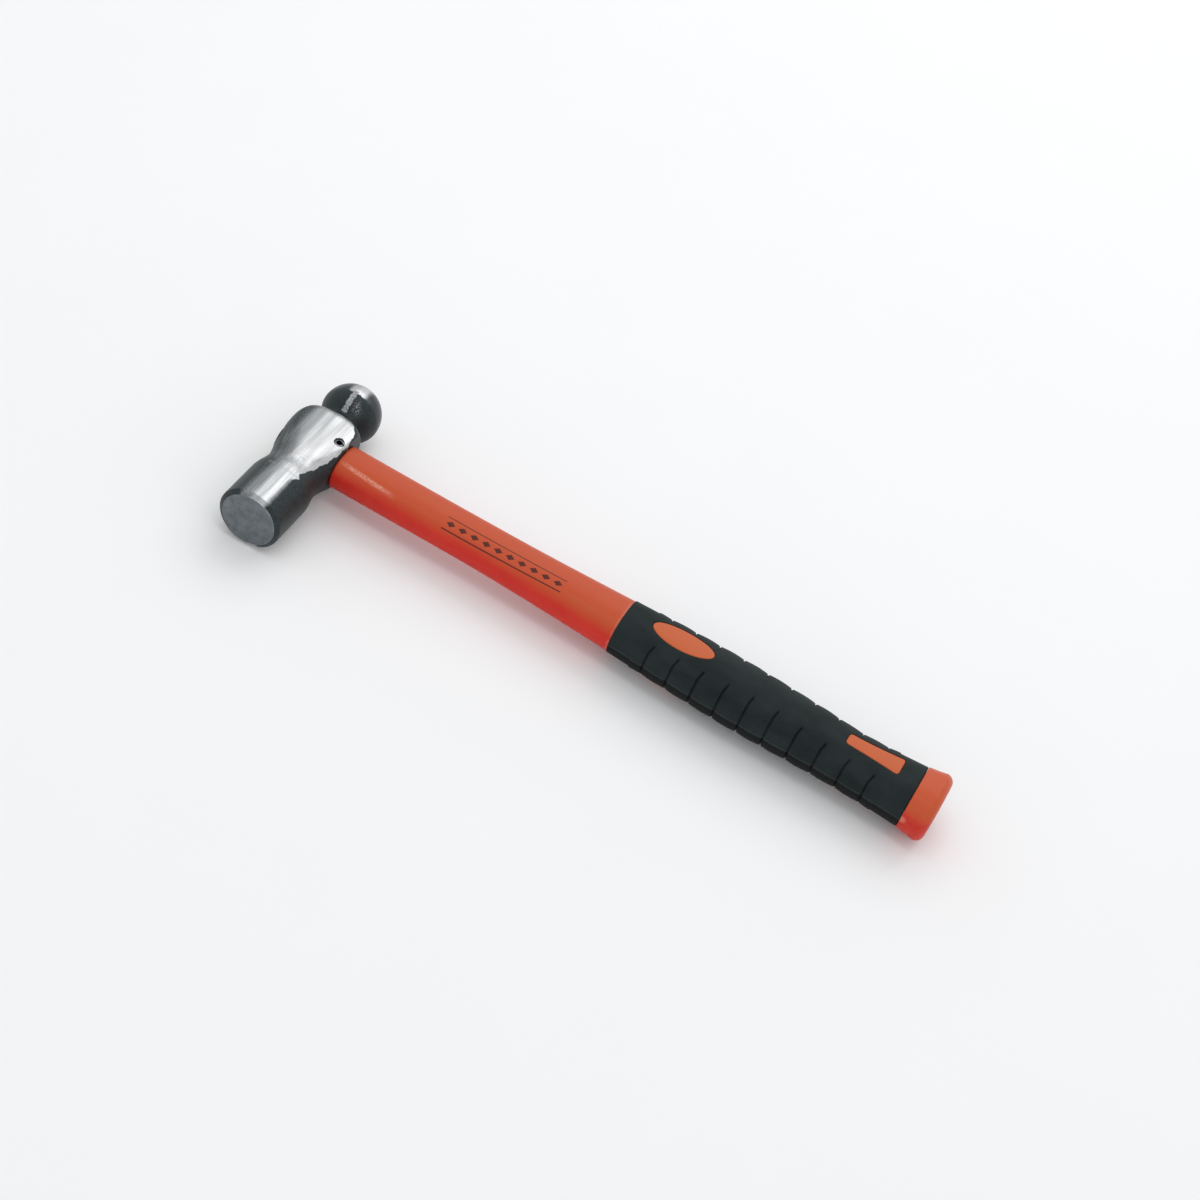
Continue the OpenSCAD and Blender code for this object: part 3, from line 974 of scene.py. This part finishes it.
jacket = {
    "lip": 1.1,  # rounded front rim
    "ridge": 0.10,
    "step": 2.0,
    "deep": (0.56, 0.014, 0.007),
    "warm": (0.62, 0.028, 0.012),
    "paintedTopLight": (0.53, 0.083, 0.023),
    "markFrom": 69.0,
    "markTo": 129.0,
    "markSide": 50.4,
    "markTone": (0.055, 0.012, 0.010),
    "markGap": 2.9,  # middle of the band to each fine line
    "markLine": 0.24,
    "markStep": 6.0,
    "lozenge": 1.35,
    "lozengeSlim": 0.62,
    "rubbed": (0.80, 0.40, 0.30),
    "scuffsAndGlints": (0.85, 0.42, 0.30),
    "glossAt": 29.0,  # broken highlight on the shoulder near the head
    "glossLine": 51.9,
    "glossLean": 0.075,
    "gloss": (0.86, 0.40, 0.29),
}


def makeJacket(material):
    # plastic tube over the core, with a slimmer tang that runs on under the grip
    h = handle
    rings = roundedStart(h["front"], jacket["lip"], 7)
    rings += [unitRing(x) for x in np.arange(h["front"] + 2.2, h["gripFrom"] - 1.0, jacket["step"])]
    rings += [unitRing(h["gripFrom"] - 0.4), unitRing(h["gripFrom"], 0.1)]
    rings += [boreRing(h["gripFrom"], h["tangBar"]), boreRing(h["tangEnd"], h["tangBar"])]
    rings += [boreRing(h["tangEnd"], h["coreBar"]), boreRing(h["front"], h["coreBar"])]
    return sweepPiece("handleJacket", rings, h["shaft"], True,
                      {"Groove Depth": 0.0, "Puff": 0.0, "Ridge Height": jacket["ridge"],
                       "Finish": material})


def redPlastic(name, tones, marked=False, gated=False):
    # satin moulded plastic: flow marks, speckle, scuffs and a paler top, which is painted light
    # from above
    s = Finish(name)
    flow = s.noise(s.scaled(0.012, 0.10, 0.10), 3.0, 0.5)
    cloud = s.noise(s.scaled(0.08, 0.16, 0.16), 4.0, 0.6)
    speck = s.noise(s.scaled(2.4, 2.4, 2.4), 2.0)
    scuff = s.noise(s.scaled(0.35, 2.2, 2.2, (0, 0, 0.5)), 4.0, 0.7).ramp(0.62, 0.74)
    colour = s.mixed((flow * 0.5 + cloud * 0.5).ramp(0.3, 0.7), tones["deep"], tones["warm"])
    colour = s.mixed(scuff * 0.16, colour, jacket["scuffsAndGlints"])
    # painted light: the top turns paler, where light from above falls
    top = s.z.ramp(2.2, 8.2)
    colour = s.mixed(top * (0.72 + cloud * 0.3), colour, tones["paintedTopLight"])
    shine = 0.33 + cloud * 0.14 + speck * 0.06 + scuff * 0.1
    height = speck * 0.12 + flow * 0.5 + cloud * 0.4
    coat = cloud * 0.06
    if marked:
        # painted highlight: a pale colour along the shoulder, with a real clear coat there too
        gloss = shoulderGloss(s, flow)
        colour = s.mixed(gloss * 0.62, colour, jacket["gloss"])
        coat = coat + gloss * 0.6
        mark = handleMark(s)
        colour = s.mixed(mark * (0.86 + speck * 0.1), colour, jacket["markTone"])
        shine = shine + mark * 0.12
        # dusty line where the grip's edge presses on the jacket
        rub = s.x.ramp(handle["gripFrom"] - 1.4, handle["gripFrom"] - 0.4)
        colour = s.mixed(rub * cloud.ramp(0.35, 0.6) * 0.22, colour, jacket["rubbed"])
    if gated:
        gate = gateMark(s, speck)
        colour = s.mixed(gate * (0.2 + speck * 0.5), colour, cap["gateTone"])
        # extra pale spots on the cap: partly real scuffs, partly painted glints
        colour = s.mixed(scuff * 0.3, colour, jacket["scuffsAndGlints"])
        height = height + gate * 2.0
        coat = coat + scuff * 0.5 + 0.03
    return s.feed(colour=colour, roughness=shine, coat=coat, coatRoughness=0.16,
                  specular=0.24, normal=s.bumped(height, 0.12, 0.6))


def shoulderGloss(s, flow):
    # broken highlight along the jacket's shoulder, next to the head
    j = jacket
    near = (1 - (s.x - j["glossAt"]).abs().ramp(7.0, 17.0)) * (s.z > 0.0)
    shoulder = s.x * j["glossLean"] + s.y + (flow - 0.5) * 1.2
    line = 1 - (shoulder - j["glossLine"]).abs().ramp(0.25, 1.5)
    broken = s.noise(s.scaled(0.8, 1.6, 1.6), 4.0, 0.7).ramp(0.40, 0.62)
    return near * line * (0.25 + broken * 0.75)


def gateMark(s, speck):
    # small raised spot with a ragged edge, left by the moulding gate
    dx = s.x - cap["gate"][0]
    dy = s.y - cap["gate"][1]
    dz = s.z - cap["gate"][2]
    away = (dx * dx * 0.35 + dy * dy + dz * dz * 0.45) ** 0.5 + (speck - 0.5) * 1.4
    return 1 - away.ramp(0.4, 1.7)


def handleMark(s):
    # generic printed band: a row of solid lozenges between two fine lines
    j = jacket
    along = (s.x - j["markFrom"]) * (s.x * -1 + j["markTo"])
    inside = (along > 0.0) * (s.z > 0.0)
    aside = s.y - j["markSide"]
    lines = (aside.abs() - j["markGap"]).abs() < j["markLine"]
    cell = (((s.x - j["markFrom"]) / j["markStep"]).fract() - 0.5) * j["markStep"]
    lozenge = (cell.abs() * j["lozengeSlim"] + aside.abs()) < j["lozenge"]
    return lines.high(lozenge) * inside


jacketFinish = redPlastic("jacketPlastic", jacket, marked=True)
finished(makeJacket(jacketFinish), "handle_jacket", jacketFinish)

grip = {
    "start": handle["gripFrom"] + 0.05,
    "end": handle["gripTo"] - 0.1,
    "lip": 0.35,
    "ridge": 0.24,
    "step": 0.7,
    "pale": (0.016, 0.0235, 0.0242),
    "dark": (0.008, 0.0135, 0.014),
    "dust": (0.03, 0.038, 0.04),
    "under": (0.0015, 0.0022, 0.0024),
    "crestHighlight": (0.045, 0.055, 0.057),
}
inlays = {
    "ovalLength": ovalHigh[0] - ovalLow[0],
    "ovalWidth": ovalHigh[1] - ovalLow[1],
    "ovalAt": (ovalLow[0] + ovalHigh[0]) / 2,
    "ovalSide": (ovalLow[1] + ovalHigh[1]) / 2,
    "tailLength": tailHigh[0] - tailLow[0],
    "tailNarrow": 6.8,
    "tailWide": 10.8,
    "tailFlare": 1.6,
    "tailAt": (tailLow[0] + tailHigh[0]) / 2,
    "tailSide": (tailLow[1] + tailHigh[1]) / 2,
    "corner": 1.6,
    "cornerSteps": 9,
    "outline": 96,  # points of an outline
    "gap": 0.16,
    "sunk": 0.05,
    "round": 0.45,
    "rows": 14,
    "windowFrom": 5.5,  # levels between which the windows are cut
    "windowTo": 15.0,
    "deep": (0.54, 0.096, 0.026),
    "warm": (0.59, 0.128, 0.038),
    "paintedTopLight": (0.55, 0.108, 0.028),
}


def tailHalf(x):
    # half width of the wedge, x from its middle
    i = inlays
    u = np.clip(x / i["tailLength"] + 0.5, 0, 1)
    return (i["tailNarrow"] + (i["tailWide"] - i["tailNarrow"]) * u ** i["tailFlare"]) / 2


def ovalOutline(grow):
    i = inlays
    turn = np.linspace(0, 2 * np.pi, i["outline"], endpoint=False)
    line = np.stack([(i["ovalLength"] / 2 + grow) * np.cos(turn),
                     (i["ovalWidth"] / 2 + grow) * np.sin(turn)], 1)
    return line + [i["ovalAt"], i["ovalSide"]]


def tailOutline(grow):
    # wedge with rounded corners: one long side, then its mirror image
    i = inlays
    half = i["tailLength"] / 2
    turn = np.linspace(0, np.pi / 2, i["cornerSteps"])
    corner = list(zip(i["corner"] * (1 - np.cos(turn)), i["corner"] * (1 - np.sin(turn))))
    reach = half - i["corner"] * 1.5
    edge = [(along - half, tailHalf(along - half) - drop) for along, drop in corner]
    edge += [(x, tailHalf(x)) for x in np.linspace(-reach, reach, 24)]
    edge += [(half - along, tailHalf(half - along) - drop) for along, drop in reversed(corner)]
    loop = np.array(edge + [(x, -y) for x, y in reversed(edge)])
    away = np.roll(loop, -1, 0) - np.roll(loop, 1, 0)
    out = np.stack([-away[:, 1], away[:, 0]], 1)
    out /= np.linalg.norm(out, axis=1)[:, None]
    loop = loop + out * grow
    closed = np.vstack([loop, loop[:1]])
    length = np.concatenate([[0], np.cumsum(np.hypot(*np.diff(closed, axis=0).T))])
    even = np.linspace(0, length[-1], i["outline"], endpoint=False)
    line = np.stack([np.interp(even, length, closed[:, k]) for k in (0, 1)], 1)
    return line + [i["tailAt"], i["tailSide"]]


outlines = {"oval": ovalOutline, "tail": tailOutline}


def tangTop(y):
    # height of the tang under an inlay
    wide, thick = handle["tangBar"]
    over = max(abs(y - head["axis"]) - (wide - thick), 0)
    return math.sqrt(max(thick ** 2 - over ** 2, 0.5))


def windowCutter(kind, side):
    # upright prism a little larger than the inlay
    line = outlines[kind](inlays["gap"])
    low = side * inlays["windowFrom"]
    high = side * inlays["windowTo"]
    x, y = line.mean(0)
    rings = [[(x, y, low)] * len(line), [(u, v, low) for u, v in line],
             [(u, v, high) for u, v in line], [(x, y, high)] * len(line)]
    return tube("window", rings)


def makeInlay(name, kind, side):
    # crowned plug: follows the grip's surface with a rounded edge
    i = inlays
    rings = []
    outer = outlines[kind](0.0)
    inward = outlines[kind](-i["round"])
    heart = outer.mean(0)
    for u in np.linspace(0, 1, i["rows"])[:-1]:
        line = heart + (inward - heart) * u
        rings.append([(x, y, side * (gripSurface(x, y) - i["sunk"])) for x, y in line])
    for a in np.linspace(0, np.pi / 2, 6):
        line = inward + (outer - inward) * math.sin(a)
        drop = i["round"] * (1 - math.cos(a)) + i["sunk"]
        rings.append([(x, y, side * (gripSurface(x, y) - drop)) for x, y in line])
    rings.append([(x, y, side * tangTop(y)) for x, y in outer])
    for u in (0.66, 0.33, 0.0):
        line = heart + (outer - heart) * u
        rings.append([(x, y, side * tangTop(y)) for x, y in line])
    return tube(name, rings, smoothAngle=50.0)


def makeGrip(material):
    # rubber sleeve: even rings, closer round every groove, then the windows are cut
    g = grip
    close = []
    for k in range(grooves["count"]):
        at = grooves["first"] + k * grooves["pitch"]
        close += list(at + np.linspace(-grooves["before"], grooves["after"], grooves["rings"]))
    even = [x for x in np.arange(handle["gripFrom"] + 1.5, g["end"] - 0.6, g["step"])
            if min(abs(x - other) for other in close) > 0.3]
    rings = roundedStart(g["start"], g["lip"], 5)
    rings += [unitRing(x) for x in sorted(even + close)]
    rings += [unitRing(g["end"] - 0.3), unitRing(g["end"], 0.3)]
    for x in (g["end"], g["start"]):
        rings.append(boreRing(x, handle["tangBar"], handle["fit"]))
    piece = sweepPiece("rubberGrip", rings, handle["grip"], True,
                       {"Ridge Height": g["ridge"], "Finish": material})
    for kind in outlines:
        for side in (1, -1):
            carve(piece, windowCutter(kind, side))
    tidyMesh(piece, 50.0)
    return piece


def gripRubber():
    g = grip
    s = Finish("gripRubber")
    fine = s.noise(s.scaled(3.2, 3.2, 3.2), 3.0, 0.6)
    grain = s.cells(s.scaled(2.2, 2.2, 2.2))
    cloud = s.noise(s.scaled(0.05, 0.09, 0.09), 4.0, 0.6)
    dust = s.noise(s.scaled(0.5, 1.2, 1.2), 5.0, 0.7).ramp(0.6, 0.75)
    colour = s.mixed(cloud.ramp(0.3, 0.7), g["dark"], g["pale"])
    colour = s.mixed(dust * 0.25, colour, g["dust"])
    # parting line: a painted highlight along the crest over a painted shade on the underside
    crestHighlight = 1 - (s.z - 0.1).abs().ramp(0.1, 0.5)
    under = 1 - s.z.ramp(-0.9, 0.0)
    colour = s.mixed(under * 0.9, colour, g["under"])
    # painted highlight along the parting line's crest
    colour = s.mixed(crestHighlight * (0.25 + fine * 0.3), colour, g["crestHighlight"])
    return s.feed(colour=colour, roughness=0.52 + fine * 0.16 + dust * 0.08, specular=0.14,
                  sheen=0.01, sheenRoughness=0.5,
                  normal=s.bumped(grain * 0.6 + fine * 0.6, 0.06, 0.5))


rubber = gripRubber()
finished(makeGrip(rubber), "rubber_grip", rubber)
inlayFinish = redPlastic("inlayPlastic", inlays)
for kind in outlines:
    for side, word in ((1, "upper"), (-1, "lower")):
        plug = makeInlay(kind + "Inlay" + word.capitalize(), kind, side)
        finished(plug, kind + "_inlay_" + word, inlayFinish)

cap = {
    "front": capLow[0],
    "frontRound": 0.5,
    "end": capHigh[0] - 0.05,
    "roundFrom": 311.6,
    "round": 3.9,
    "crown": 0.25,  # bulge of the end face
    "crownRings": 4,
    "crownStep": 1.6,
    "step": 0.5,
    "ridge": 0.12,
    "deep": (0.52, 0.014, 0.007),
    "warm": (0.60, 0.032, 0.012),
    "paintedTopLight": (0.56, 0.092, 0.026),
    "gate": (304.0, 36.9, 0.8),  # place of the moulding gate's mark
    "gateTone": (0.82, 0.34, 0.20),
}


def makeCap(material):
    # hollow over the tang's end, then the flared skirt, the rounded rim and the crowned end
    c = cap
    h = handle
    rings = [poleRing(h["coreEnd"], head["axis"]), boreRing(h["coreEnd"], h["coreBar"])]
    rings += [boreRing(h["tangEnd"], h["coreBar"], h["fit"])]
    rings += [boreRing(h["tangEnd"], h["tangBar"], h["fit"])]
    rings += [boreRing(c["front"], h["tangBar"], h["fit"])]
    rings += roundedStart(c["front"], c["frontRound"], 6)
    rings += [unitRing(x) for x in np.arange(c["front"] + 1.0, c["roundFrom"] - 0.2, c["step"])]
    depth = c["end"] - c["roundFrom"] - c["crown"]
    for a in np.linspace(0, math.pi / 2, 16):
        rings.append(unitRing(c["roundFrom"] + depth * math.sin(a),
                              c["round"] * (1 - math.cos(a))))
    for k in range(1, c["crownRings"] + 1):
        rings.append(unitRing(c["end"] - c["crown"] * (1 - k / c["crownRings"]),
                              c["round"] + k * c["crownStep"]))
    rings.append(poleRing(c["end"], head["axis"] - h["droop"]))
    return sweepPiece("endCap", rings, h["cap"], False,
                      {"Groove Depth": 0.0, "Puff": 0.0, "Ridge Height": c["ridge"],
                       "Finish": material})


capFinish = redPlastic("capPlastic", cap, gated=True)
finished(makeCap(capFinish), "end_cap", capFinish)

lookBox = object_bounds()
for low, high, axis in zip(lookBox[0] - cadBox[0], cadBox[1] - lookBox[1], "xyz"):
    print("room inside the box along", axis, round(low / mm, 2), round(high / mm, 2))
